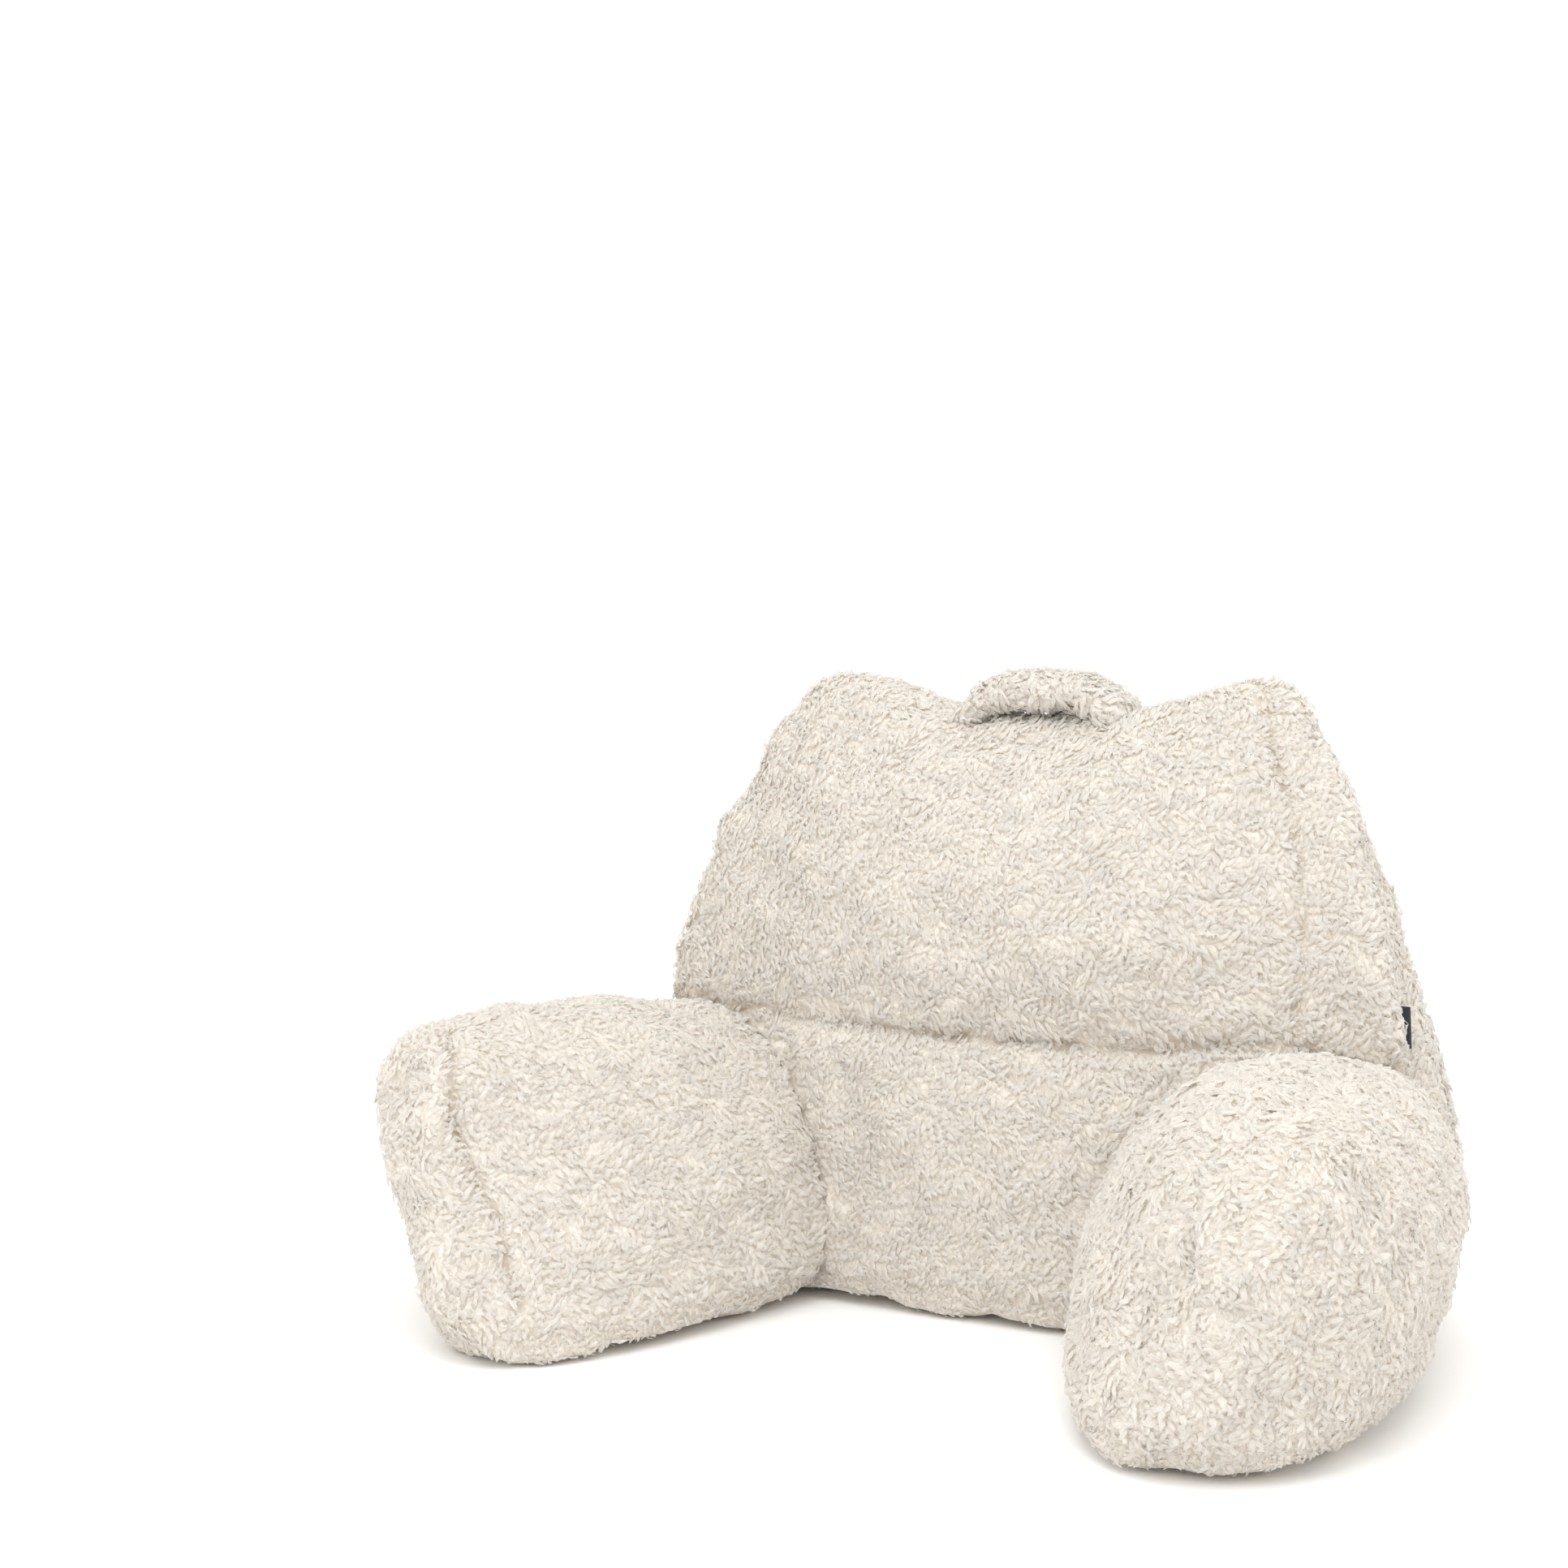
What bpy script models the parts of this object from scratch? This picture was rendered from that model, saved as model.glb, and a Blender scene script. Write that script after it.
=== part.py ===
"""Reading pillow with arms: a filled back cushion, two filled arms, a carry
handle and a small side tag. Metres, +Z up, front towards -Y, resting on Z = 0."""

import bpy
import bmesh
from mathutils import Vector

# The tables below measure X from the middle of the back and Y from the line where
# the lumbar panel meets the arms. This shift centres the whole form on the origin.
FOOTPRINT_SHIFT = Vector((-0.0104, 0.0586, 0.0))
CLEARANCE = 0.0003        # gap kept between pieces that touch
SEAM_CREASE = 0.75        # how sharp a sewn line stays under subdivision
CUSHION_LEVELS = 2        # subdivision of the filled forms and of the strap
STRAP_LEVELS = 1

# Carry handle, a padded strap that arches over the top edge
HANDLE_HALF_SPAN = 0.073
HANDLE_CROWN = 0.4590     # height of the strap's middle line at its crown
HANDLE_ROOT = 0.4250      # height of that line where the strap enters the edge
HANDLE_Y = 0.112
HANDLE_WIDTH = 0.044
HANDLE_THICKNESS = 0.017
HANDLE_STEPS = 8
HANDLE_SECTION = ((-1.0, -0.6), (-1.0, 0.6), (-0.4, 1.2), (0.4, 1.2),
                  (1.0, 0.6), (1.0, -0.6), (0.4, -1.2), (-0.4, -1.2))

# Side tag, folded into the rear seam on the right
TAG_LENGTH = 0.030
TAG_REACH = 0.024
TAG_THICKNESS = 0.0014
TAG_CENTRE = (0.2970, 0.0850, 0.2250)

# Back cushion, one row a section from the floor up, half of it each: the front
# panel's middle, the front seam, the side gusset's widest point, the rear seam,
# the rear corner and the rear panel's middle.
BACK_COLUMNS = ("z", "front_mid", "front_x", "front_y", "side_x", "side_y",
                "rear_x", "rear_y", "corner_x", "corner_y", "back_mid")
BACK_ROWS = (
    (0.000, -0.020, 0.100, -0.012, 0.160, 0.020, 0.245, 0.070, 0.250, 0.140, 0.165),
    (0.000, -0.046, 0.122, -0.044, 0.200, 0.000, 0.300, 0.072, 0.290, 0.172, 0.200),
    (0.022, -0.054, 0.128, -0.050, 0.215, -0.002, 0.318, 0.070, 0.308, 0.180, 0.212),
    (0.070, -0.046, 0.146, -0.040, 0.235, 0.004, 0.330, 0.075, 0.330, 0.176, 0.220),
    (0.130, -0.034, 0.176, -0.018, 0.262, 0.016, 0.326, 0.078, 0.338, 0.168, 0.220),
    (0.178, -0.026, 0.208, 0.000, 0.284, 0.026, 0.314, 0.080, 0.332, 0.160, 0.216),
    (0.204, -0.006, 0.240, 0.020, 0.306, 0.038, 0.302, 0.080, 0.322, 0.156, 0.212),
    (0.238, -0.026, 0.240, 0.028, 0.318, 0.034, 0.294, 0.084, 0.314, 0.148, 0.206),
    (0.300, -0.014, 0.233, 0.042, 0.295, 0.052, 0.278, 0.090, 0.290, 0.150, 0.192),
    (0.360, 0.012, 0.220, 0.062, 0.278, 0.070, 0.260, 0.104, 0.264, 0.152, 0.174),
    (0.410, 0.046, 0.200, 0.088, 0.252, 0.082, 0.236, 0.116, 0.234, 0.146, 0.160),
    (0.438, 0.088, 0.178, 0.116, 0.222, 0.102, 0.208, 0.126, 0.190, 0.142, 0.146),
)
PANEL_STATIONS = ((0.42, 0.10), (0.80, 0.55))  # shares of the way from the front
                          # panel's middle to its seam, outwards and backwards
GUSSET_STATION = (0.70, 0.30)  # the same from that seam to the gusset's widest point
REAR_STATION = (0.55, 0.15)    # the same from the rear panel's middle to its corner
REAR_SEAMS = (1, 7)       # columns of the cage, right and left
FRONT_SEAMS = (16, 10)
LUMBAR_SEAM_ROW = 6       # the sewn line between the upper and the lumbar panel
SEAM_LIFT = 0.012         # how far that line climbs towards the front corners
LIFT_REACH = 0.060        # how far from the corner the climb fades out
TOP_DIP = 0.014           # how far the top edge sinks in the middle
CORNER_RISE = 0.046       # how far the pointed corners stand up
CORNER_X = 0.180
CLIMB_POWER = 0.8         # under 1, the edge climbs fastest beside the handle
RISE_START = 0.040        # the edge climbs from here to the corner
CORNER_FALL = 0.9         # slope of the edge outside the corner
EDGE_START = 0.300        # the top edge's curve fades in from this height

# Arms, one row a section from the root to the front. X of the inner side at four
# heights, the middle of the top, and the outer side at four heights.
ARM_COLUMNS = ("inner_y", "outer_y", "floor_in", "low_in", "mid_in", "high_in",
               "top_x", "top_z", "high_out", "mid_out", "low_out", "floor_out")
LEFT_ARM_ROWS = (
    (0.080, 0.120, 0.170, 0.170, 0.180, 0.200, 0.250, 0.182, 0.300, 0.305, 0.300, 0.270),
    (0.030, 0.080, 0.125, 0.100, 0.122, 0.160, 0.260, 0.200, 0.335, 0.340, 0.335, 0.300),
    (-0.040, 0.010, 0.122, 0.097, 0.118, 0.152, 0.265, 0.217, 0.372, 0.375, 0.358, 0.318),
    (-0.120, -0.080, 0.122, 0.116, 0.136, 0.176, 0.280, 0.229, 0.395, 0.385, 0.358, 0.318),
    (-0.200, -0.170, 0.136, 0.136, 0.160, 0.206, 0.294, 0.232, 0.398, 0.374, 0.342, 0.310),
    (-0.272, -0.234, 0.160, 0.170, 0.202, 0.248, 0.306, 0.230, 0.390, 0.352, 0.320, 0.298),
    (-0.308, -0.264, 0.204, 0.214, 0.244, 0.280, 0.316, 0.215, 0.368, 0.336, 0.308, 0.284),
)
RIGHT_ARM_ROWS = (
    (0.080, 0.120, 0.170, 0.170, 0.180, 0.200, 0.250, 0.182, 0.300, 0.305, 0.300, 0.270),
    (0.030, 0.080, 0.125, 0.104, 0.122, 0.160, 0.260, 0.203, 0.332, 0.336, 0.330, 0.298),
    (-0.040, 0.010, 0.116, 0.100, 0.110, 0.150, 0.265, 0.218, 0.370, 0.380, 0.362, 0.326),
    (-0.120, -0.080, 0.140, 0.136, 0.144, 0.180, 0.285, 0.230, 0.392, 0.405, 0.388, 0.358),
    (-0.200, -0.170, 0.176, 0.174, 0.186, 0.218, 0.306, 0.234, 0.402, 0.412, 0.400, 0.374),
    (-0.276, -0.238, 0.212, 0.214, 0.232, 0.266, 0.330, 0.230, 0.404, 0.408, 0.394, 0.368),
    (-0.300, -0.282, 0.244, 0.258, 0.292, 0.326, 0.358, 0.206, 0.392, 0.390, 0.374, 0.344),
)
LOW, MID, HIGH = 0.045, 0.110, 0.180
ARM_HEIGHT = 0.230        # the top_z that LOW, MID and HIGH belong to
TOP_HALF = 0.046          # half the width of the arm's flat top
CAP_INSET = 0.45          # the end cap's bulged middle, as a share of its outline
CAP_BULGE = 0.034

FLEECE_COLOUR = (0.83, 0.79, 0.71, 1.0)
TAG_COLOUR = (0.02, 0.022, 0.035, 1.0)


def plain_material(name, colour, roughness):
    material = bpy.data.materials.new(name)
    material.use_nodes = True
    shader = material.node_tree.nodes["Principled BSDF"]
    shader.inputs["Base Color"].default_value = colour
    shader.inputs["Roughness"].default_value = roughness
    shader.inputs["Metallic"].default_value = 0.0
    return material


def add_object(name, mesh, collection, material=None):
    item = bpy.data.objects.new(name, mesh)
    collection.objects.link(item)
    if material:
        mesh.materials.append(material)
    return item


def shifted(x, y, z):
    return Vector((x, y, z)) + FOOTPRINT_SHIFT


def smooth(item, levels):
    subdivision = item.modifiers.new("Smooth", "SUBSURF")
    subdivision.levels = levels
    subdivision.render_levels = levels


def loft_cage(name, rings, seam_columns=(), seam_rings=()):
    """A closed cage through equal rings; creased along the named columns and rings."""
    bm = bmesh.new()
    crease = bm.edges.layers.float.new("crease_edge")
    layers = [[bm.verts.new(point) for point in ring] for ring in rings]
    count = len(rings[0])
    for lower, upper in zip(layers, layers[1:]):
        for i in range(count):
            j = (i + 1) % count
            bm.faces.new((lower[i], lower[j], upper[j], upper[i]))
    for layer in (layers[0], layers[-1]):
        for i in range(count // 2 - 1):
            bm.faces.new((layer[i], layer[i + 1], layer[count - 2 - i], layer[count - 1 - i]))
    for column in seam_columns:
        for lower, upper in zip(layers, layers[1:]):
            edge = bm.edges.get((lower[column], upper[column]))
            edge[crease] = SEAM_CREASE
    for index in seam_rings:
        for i in range(count):
            edge = bm.edges.get((layers[index][i], layers[index][(i + 1) % count]))
            edge[crease] = SEAM_CREASE
    bmesh.ops.recalc_face_normals(bm, faces=bm.faces[:])
    mesh = bpy.data.meshes.new(name)
    bm.to_mesh(mesh)
    bm.free()
    mesh.shade_smooth()
    return mesh


def top_edge(x):
    """Height added along the top edge: a dip in the middle, a rise to each corner."""
    reach = abs(x)
    if reach > CORNER_X:
        return CORNER_RISE - CORNER_FALL * (reach - CORNER_X)
    climb = max(0.0, (reach - RISE_START) / (CORNER_X - RISE_START)) ** CLIMB_POWER
    return CORNER_RISE * climb - TOP_DIP * max(0.0, 1.0 - (x / CORNER_X) ** 2)


def between(start, end, share):
    return start + share * (end - start)


def corner_lift(x, y, r):
    """Height added where the lumbar seam meets the lower end of a front seam."""
    if y >= r["side_y"]:
        return 0.0
    seam_z = BACK_ROWS[LUMBAR_SEAM_ROW][0]
    near_seam = max(0.0, 1.0 - abs(r["z"] - seam_z) / LIFT_REACH)
    near_corner = max(0.0, 1.0 - abs(abs(x) - r["front_x"]) / LIFT_REACH)
    return SEAM_LIFT * near_seam * near_corner


def back_ring(row):
    """One section of the back cushion, from the right gusset around the rear."""
    r = dict(zip(BACK_COLUMNS, row))
    front = []
    for along, back in PANEL_STATIONS:
        front.append((along * r["front_x"], between(r["front_mid"], r["front_y"], back)))
    front.append((r["front_x"], r["front_y"]))
    out, back = GUSSET_STATION
    front.append((between(r["front_x"], r["side_x"], out),
                  between(r["front_y"], r["side_y"], back)))
    rear = [(r["side_x"], r["side_y"]), (r["rear_x"], r["rear_y"]), (r["corner_x"], r["corner_y"])]
    out, forward = REAR_STATION
    rear.append((out * r["corner_x"], between(r["back_mid"], r["corner_y"], forward)))
    outline = rear + [(0.0, r["back_mid"])]
    outline += [(-x, y) for x, y in reversed(rear)]
    outline += [(-x, y) for x, y in reversed(front)]
    outline += [(0.0, r["front_mid"])] + front
    top = BACK_ROWS[-1][0]
    share = max(0.0, (r["z"] - EDGE_START) / (top - EDGE_START)) ** 2
    ring = []
    for x, y in outline:
        lift = share * top_edge(x) + corner_lift(x, y, r)
        ring.append(shifted(x, y, r["z"] + lift))
    return ring


def back_cushion():
    rings = [back_ring(row) for row in BACK_ROWS]
    return loft_cage("back_cushion", rings, REAR_SEAMS + FRONT_SEAMS, (LUMBAR_SEAM_ROW,))


def arm_ring(row):
    """One section of an arm: up its inner side, over the top and down again."""
    r = dict(zip(ARM_COLUMNS, row))
    lift = r["top_z"] / ARM_HEIGHT
    third = (r["floor_out"] - r["floor_in"]) / 3.0
    outline = (
        (r["floor_in"] + third, 0.0),
        (r["floor_in"], 0.0),
        (r["low_in"], LOW * lift),
        (r["mid_in"], MID * lift),
        (r["high_in"], HIGH * lift),
        (r["top_x"] - TOP_HALF, r["top_z"]),
        (r["top_x"] + TOP_HALF, r["top_z"]),
        (r["high_out"], HIGH * lift),
        (r["mid_out"], MID * lift),
        (r["low_out"], LOW * lift),
        (r["floor_out"], 0.0),
        (r["floor_out"] - third, 0.0),
    )
    slant = (r["outer_y"] - r["inner_y"]) / (r["mid_out"] - r["mid_in"])
    return [Vector((x, r["inner_y"] + slant * (x - r["mid_in"]), z)) for x, z in outline]


def arm(name, rows, side):
    rings = [arm_ring(row) for row in rows]
    seam = rings[-1]
    middle = sum(seam, Vector()) / len(seam)
    bulge = []
    for point in seam:
        inner = middle + CAP_INSET * (point - middle)
        bulge.append(inner + Vector((0.0, -CAP_BULGE, 0.0)))
    rings.append(bulge)
    placed = [[shifted(side * p.x, p.y, p.z) for p in ring] for ring in rings]
    return loft_cage(name, placed, seam_rings=(len(rows) - 1,))


def handle():
    """The strap's middle line arches between two roots inside the top edge."""
    rings = []
    for step in range(HANDLE_STEPS + 1):
        along = 2.0 * step / HANDLE_STEPS - 1.0
        x = HANDLE_HALF_SPAN * along
        rise = HANDLE_CROWN - HANDLE_ROOT
        z = HANDLE_ROOT + rise * (1.0 - along ** 4)
        slope = -4.0 * rise * along ** 3 / HANDLE_HALF_SPAN
        normal = Vector((-slope, 0.0, 1.0)).normalized()
        middle = shifted(x, HANDLE_Y, z)
        ring = []
        for across, out in HANDLE_SECTION:
            ring.append(middle + Vector((0.0, across * HANDLE_WIDTH / 2.0, 0.0))
                        + normal * out * HANDLE_THICKNESS / 2.0)
        rings.append(ring)
    return loft_cage("handle", rings)


def tag():
    bm = bmesh.new()
    bmesh.ops.create_cube(bm, size=1.0)
    size = Vector((TAG_REACH, TAG_THICKNESS, TAG_LENGTH))
    bmesh.ops.scale(bm, vec=size, verts=bm.verts[:])
    bmesh.ops.translate(bm, vec=shifted(*TAG_CENTRE), verts=bm.verts[:])
    mesh = bpy.data.meshes.new("tag")
    bm.to_mesh(mesh)
    bm.free()
    return mesh


def grown_copy(item, distance, collection):
    """The item's own triangles, moved out along its normals, as a cutter."""
    depsgraph = bpy.context.evaluated_depsgraph_get()
    mesh = bpy.data.meshes.new_from_object(item.evaluated_get(depsgraph))
    normals = [vertex.normal.copy() for vertex in mesh.vertices]
    for vertex, normal in zip(mesh.vertices, normals):
        vertex.co += normal * distance
    cutter = add_object(item.name + "_grown", mesh, collection)
    cutter.hide_render = True
    cutter.display_type = "WIRE"
    return cutter


def cut(item, cutter):
    boolean = item.modifiers.new("Seat", "BOOLEAN")
    boolean.operation = "DIFFERENCE"
    boolean.solver = "EXACT"
    boolean.object = cutter


def main():
    for item in list(bpy.data.objects):
        bpy.data.objects.remove(item)
    parts = bpy.data.collections.new("reading_pillow")
    cutters = bpy.data.collections.new("cutters")
    bpy.context.scene.collection.children.link(parts)
    bpy.context.scene.collection.children.link(cutters)
    fleece = plain_material("fleece", FLEECE_COLOUR, 0.95)
    dark = plain_material("tag_cloth", TAG_COLOUR, 0.8)

    back = add_object("back_cushion", back_cushion(), parts, fleece)
    smooth(back, CUSHION_LEVELS)
    back.modifiers.new("Triangles", "TRIANGULATE")
    bpy.context.view_layer.update()
    seat = grown_copy(back, CLEARANCE, cutters)
    for name, rows, side in (("arm_left", LEFT_ARM_ROWS, -1.0),
                             ("arm_right", RIGHT_ARM_ROWS, 1.0)):
        item = add_object(name, arm(name, rows, side), parts, fleece)
        smooth(item, CUSHION_LEVELS)
        cut(item, seat)
    strap = add_object("handle", handle(), parts, fleece)
    smooth(strap, STRAP_LEVELS)
    cut(strap, seat)
    label = add_object("side_tag", tag(), parts, dark)
    cut(label, seat)


main()
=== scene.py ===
import math
import random
import bpy
import numpy as np
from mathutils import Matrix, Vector, kdtree, noise
from mathutils.bvhtree import BVHTree


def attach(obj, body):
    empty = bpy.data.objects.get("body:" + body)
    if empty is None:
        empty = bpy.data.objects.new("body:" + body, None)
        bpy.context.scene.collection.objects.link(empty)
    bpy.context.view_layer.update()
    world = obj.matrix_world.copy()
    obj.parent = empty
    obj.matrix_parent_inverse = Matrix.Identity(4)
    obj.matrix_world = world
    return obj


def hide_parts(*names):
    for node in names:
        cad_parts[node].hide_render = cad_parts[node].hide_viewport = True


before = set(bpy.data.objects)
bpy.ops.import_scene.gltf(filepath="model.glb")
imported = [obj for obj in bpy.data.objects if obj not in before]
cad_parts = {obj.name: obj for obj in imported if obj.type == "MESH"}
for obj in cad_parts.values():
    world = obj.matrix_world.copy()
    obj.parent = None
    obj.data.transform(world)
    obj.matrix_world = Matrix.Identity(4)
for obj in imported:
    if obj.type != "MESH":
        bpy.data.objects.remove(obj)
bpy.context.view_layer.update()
noise.seed_set(3)                        # noise vectors follow this seed, never the clock
scene = bpy.context.scene
scene.view_settings.view_transform = "Standard"
print("frame loaded:", sorted(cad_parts))


# ---- camera
viewpoint = {
    "place": (1.0312, -1.8759, 0.5819),
    "turn": (85.162, 0.589, 32.049),     # degrees
    "lens": 67.99,
}
bpy.ops.object.camera_add(
    location=viewpoint["place"],
    rotation=[math.radians(a) for a in viewpoint["turn"]],
)
camera = bpy.context.object
camera.data.lens = viewpoint["lens"]
camera.data.clip_start = 0.05
scene.camera = camera
print("camera set")


# ---- small helpers
def wakeOnly(piece):
    bpy.ops.object.select_all(action="DESELECT")
    piece.select_set(True)
    bpy.context.view_layer.objects.active = piece


def pointsOf(piece):
    found = np.empty(len(piece.data.vertices) * 3)
    piece.data.vertices.foreach_get("co", found)
    return found.reshape(-1, 3)


def normalsOf(piece):
    found = np.empty(len(piece.data.vertices) * 3, np.float32)
    piece.data.vertex_normals.foreach_get("vector", found)
    return found.reshape(-1, 3).astype(float)


def movePoints(piece, points):
    piece.data.vertices.foreach_set("co", np.ascontiguousarray(points, float).ravel())
    piece.data.update()


def applyAll(piece):
    wakeOnly(piece)
    for modifier in list(piece.modifiers):
        bpy.ops.object.modifier_apply(modifier=modifier.name)


def storeOn(piece, name, kind, values):
    attribute = piece.data.attributes.new(name, kind, "POINT")
    field = "vector" if kind == "FLOAT_VECTOR" else "value"
    attribute.data.foreach_set(field, np.ascontiguousarray(values, np.float32).ravel())


def easeIn(values, low, high):           # 0 below low, 1 above high, smooth between
    share = np.clip((values - low) / (high - low), 0.0, 1.0)
    return share * share * (3.0 - 2.0 * share)


class Wire:                              # a socket in a node tree, used like a number
    def __init__(self, tree, socket=None):
        self.tree = tree
        self.socket = socket

    def node(self, kind, settings=None, sockets=None, output=0):
        made = self.tree.nodes.new(kind)
        for key, value in (settings or {}).items():
            setattr(made, key, value)
        for key, value in (sockets or {}).items():
            if isinstance(value, Wire):
                self.tree.links.new(value.socket, made.inputs[key])
            else:
                made.inputs[key].default_value = value
        return Wire(self.tree, made.outputs[output]) if len(made.outputs) else made

    def sums(self, operation, *values):
        return self.node("ShaderNodeMath", {"operation": operation}, dict(enumerate(values)))

    def __add__(self, other):
        return self.sums("ADD", self, other)

    def __sub__(self, other):
        return self.sums("SUBTRACT", self, other)

    def __rsub__(self, other):
        return self.sums("SUBTRACT", other, self)

    def __mul__(self, other):
        return self.sums("MULTIPLY", self, other)

    def __truediv__(self, other):
        return self.sums("DIVIDE", self, other)

    def __pow__(self, other):
        return self.sums("POWER", self, other)

    __radd__ = __add__
    __rmul__ = __mul__

    def wire(self, name):                # another output of the same node
        return Wire(self.tree, self.socket.node.outputs[name])


def blendColours(wire, share, first, second):
    return wire.node(
        "ShaderNodeMix",
        {"data_type": "RGBA"},
        {0: share, 6: first, 7: second},
        output=2,
    )


def newFinish(name, fixed):              # a material, its tree and its shader node
    finish = bpy.data.materials.new(name)
    finish.use_nodes = True
    shader = finish.node_tree.nodes["Principled BSDF"]
    for key, value in fixed.items():
        shader.inputs[key].default_value = value
    return finish, Wire(finish.node_tree), shader


# ---- fleece
fleece = {
    "tip": (0.980, 0.970, 0.945, 1.0),
    # painted shade: the darker colour a lock shows at its root, between its fibres and along its
    # borders, and the dark end of its chance tone
    "root": (0.735, 0.638, 0.530, 1.0),
    # the bare cloth between locks, partly its own tone and partly painted shade from the locks over it;
    # the next colour is painted shade in its crevices
    "ground": (0.80, 0.76, 0.695, 1.0),
    "groundShade": (0.60, 0.545, 0.475, 1.0),
    # painted shade in the seam creases
    "seam": (0.42, 0.35, 0.275, 1.0),
    "through": (0.982, 0.964, 0.93, 1.0),    # light that comes through a lock
    "thinness": 0.50,                    # the share of that light
    "sheenTint": (1.0, 0.97, 0.92, 1.0),
    "tintColumns": 32,                   # different locks side by side on the lock map
    "tintSpread": 0.06,                  # how much darker the darkest of them is
    "fibres": 4.0,                       # fine streaks across one lock
    "rootShadeGain": 0.45,                     # what draws the colour from the painted shade at the root to the tip: its place,
    "fibreShadeGain": 0.85,                  # painted light on the streaks and painted shade between them,
    "strandGain": 0.9,                   # chance,
    "borderShade": 0.40,                  # and what draws it back: painted shade along the lock's borders
    "lockRelief": 0.00025,               # how high the streaks stand
    "combing": 70.0,                     # the three scales of the bare cloth's relief and of its painted crevice shade
    "curling": 420.0,
    "patches": 22.0,
    "groundRelief": 0.0016,
}


def lockFinish():
    finish, tree, shader = newFinish(
        "curlyFleece",
        {"Roughness": 0.85, "Sheen Weight": 0.7, "Sheen Roughness": 0.5,
         "Sheen Tint": fleece["sheenTint"], "Specular IOR Level": 0.25},
    )
    lockMap = tree.node("ShaderNodeUVMap", {"uv_map": "lockMap"})
    parts = tree.node("ShaderNodeSeparateXYZ", {}, {0: lockMap})
    wide = parts * fleece["tintColumns"]
    along = parts.wire("Y")
    column = wide.sums("FLOOR", wide)
    across = wide - column
    tint = tree.node("ShaderNodeTexWhiteNoise", {"noise_dimensions": "1D"}, {"W": column * 1.37})
    place = tree.node(
        "ShaderNodeCombineXYZ", {}, {0: across * fleece["fibres"], 1: along * 1.2, 2: column * 3.1}
    )
    strand = tree.node(
        "ShaderNodeTexNoise",
        {"noise_dimensions": "3D"},
        {"Vector": place, "Scale": 1.0, "Detail": 2.0, "Roughness": 0.6},
    )
    wavy = across * fleece["fibres"] * math.pi + strand * 2.0
    streak = wavy.sums("ABSOLUTE", wavy.sums("SINE", wavy))
    border = (across - 0.5) * (across - 0.5) * 4.0
    # painted light and shade in a lock's colour: lighter towards its tip and on its fibres, painted
    # shade at its root, between fibres and at its borders, with chance tone besides
    light = along ** 0.7 * fleece["rootShadeGain"] + streak * fleece["fibreShadeGain"]
    light = light + (strand - 0.5) * fleece["strandGain"] - border * fleece["borderShade"]
    body = blendColours(tree, light.sums("MINIMUM", light, 1.0), fleece["root"], fleece["tip"])
    shade = 1.0 - tint * fleece["tintSpread"]
    colour = tree.node(
        "ShaderNodeVectorMath", {"operation": "SCALE"}, {0: body, "Scale": shade}
    )
    relief = tree.node(
        "ShaderNodeBump", {},
        {"Strength": 0.6, "Distance": fleece["lockRelief"], "Height": streak},
    )
    tree.tree.links.new(colour.socket, shader.inputs["Base Color"])
    tree.tree.links.new(relief.socket, shader.inputs["Normal"])
    glow = tree.node("ShaderNodeBsdfTranslucent", {}, {"Color": fleece["through"]})
    thin = tree.node(
        "ShaderNodeMixShader", {},
        {0: fleece["thinness"], 1: Wire(tree.tree, shader.outputs["BSDF"]), 2: glow},
    )
    tree.tree.links.new(thin.socket, tree.tree.nodes["Material Output"].inputs["Surface"])
    return finish


def groundFinish():
    finish, tree, shader = newFinish(
        "fleeceGround",
        {"Roughness": 0.95, "Sheen Weight": 0.2, "Sheen Roughness": 0.6, "Specular IOR Level": 0.2},
    )
    place = tree.node("ShaderNodeTexCoord").wire("Object")
    combed = tree.node(
        "ShaderNodeTexNoise",
        {"noise_dimensions": "3D"},
        {"Vector": place, "Scale": fleece["combing"], "Detail": 1.0, "Roughness": 0.5,
         "Distortion": 0.8},
    )
    streaks = combed.sums("SINE", combed * 30.0) * 0.5 + 0.5
    fine = tree.node(
        "ShaderNodeTexNoise",
        {"noise_dimensions": "3D"},
        {"Vector": place, "Scale": fleece["curling"], "Detail": 2.0, "Roughness": 0.6},
    )
    curl = streaks * 0.25 + fine * 0.75
    patch = tree.node(
        "ShaderNodeTexNoise", {"noise_dimensions": "3D"},
        {"Vector": place, "Scale": fleece["patches"], "Detail": 2.0},
    )
    # painted shade in the bare cloth's crevices, following its curls and patches
    creviceShade = (curl - 0.36) * 2.8 + (patch - 0.5) * 0.4
    creviceShade = creviceShade.sums("MINIMUM", creviceShade.sums("MAXIMUM", creviceShade, 0.0), 1.0)
    colour = blendColours(tree, creviceShade, fleece["groundShade"], fleece["ground"])
    # painted shade along the seam creases
    crease = tree.node("ShaderNodeAttribute", {"attribute_name": "crease"}, output=2)
    colour = blendColours(tree, crease, colour, fleece["seam"])
    relief = tree.node(
        "ShaderNodeBump", {},
        {"Strength": 0.8, "Distance": fleece["groundRelief"], "Height": curl},
    )
    tree.tree.links.new(colour.socket, shader.inputs["Base Color"])
    tree.tree.links.new(relief.socket, shader.inputs["Normal"])
    return finish


curlyFleece = lockFinish()
fleeceGround = groundFinish()
print("fleece finishes made")


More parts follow.
